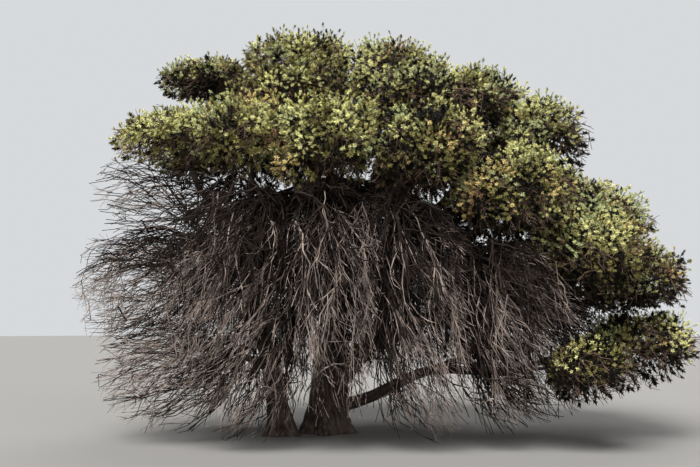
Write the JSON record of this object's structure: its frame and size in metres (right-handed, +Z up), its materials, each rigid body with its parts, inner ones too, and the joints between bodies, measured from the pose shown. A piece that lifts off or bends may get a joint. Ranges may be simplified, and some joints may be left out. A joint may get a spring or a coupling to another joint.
{
  "type": "juniper tree",
  "caption": "Old wide juniper tree: two gnarled stems, lumpy masses of needle foliage over the top and right, and curtains of bare grey twigs inside and on the left.",
  "frame": {"origin": "middle of the flat cut under the main trunk, at ground level", "axes": "+Z up; +X to the right of the picture, towards the green side; +Y away from its camera"},
  "size_m": [8.6635, 6.1862, 5.9069],
  "materials": {
    "bark": "rough fibrous bark",
    "grey_twigs": "weathered bare twigs",
    "needles": "matte needles"
  },
  "bodies": {
    "root": {"back_left": "needles", "back_low": "needles", "back_mid": "needles", "back_right": "needles", "back_shoulder": "needles", "back_skirt": "grey_twigs", "bare_left": "grey_twigs", "bough_back_left": "bark", "bough_back_low": "bark", "bough_back_mid": "bark", "bough_back_right": "bark", "bough_back_shoulder": "bark", "bough_bare_left": "bark", "bough_front_left": "bark", "bough_front_mid": "bark", "bough_front_right": "bark", "bough_hang_left": "bark", "bough_hang_mid": "bark", "bough_hang_right": "bark", "bough_left_tip": "bark", "bough_low_green": "bark", "bough_right_crest": "bark", "bough_right_dome": "bark", "bough_right_foot": "bark", "bough_right_front": "bark", "bough_right_slope": "bark", "bough_shoulder": "bark", "bough_top_left": "bark", "bough_top_right": "bark", "bough_upper_left": "bark", "bough_upper_right": "bark", "front_curtain": "grey_twigs", "front_left": "needles", "front_mid": "needles", "front_right": "needles", "front_stem": "bark", "leader_left": "bark", "leader_right": "bark", "left_curtain": "grey_twigs", "left_low_skirt": "grey_twigs", "left_skirt": "grey_twigs", "left_tip": "needles", "low_green": "needles", "mid_curtain": "grey_twigs", "right_crest": "needles", "right_curtain": "grey_twigs", "right_dome": "needles", "right_foot": "needles", "right_front": "needles", "right_skirt": "grey_twigs", "right_slope": "needles", "shoulder": "needles", "top_centre": "needles", "top_left_pad": "needles", "top_mid": "needles", "top_right": "needles", "trunk": "bark", "upper_left": "needles", "upper_right": "needles"}
  },
  "joints": []
}
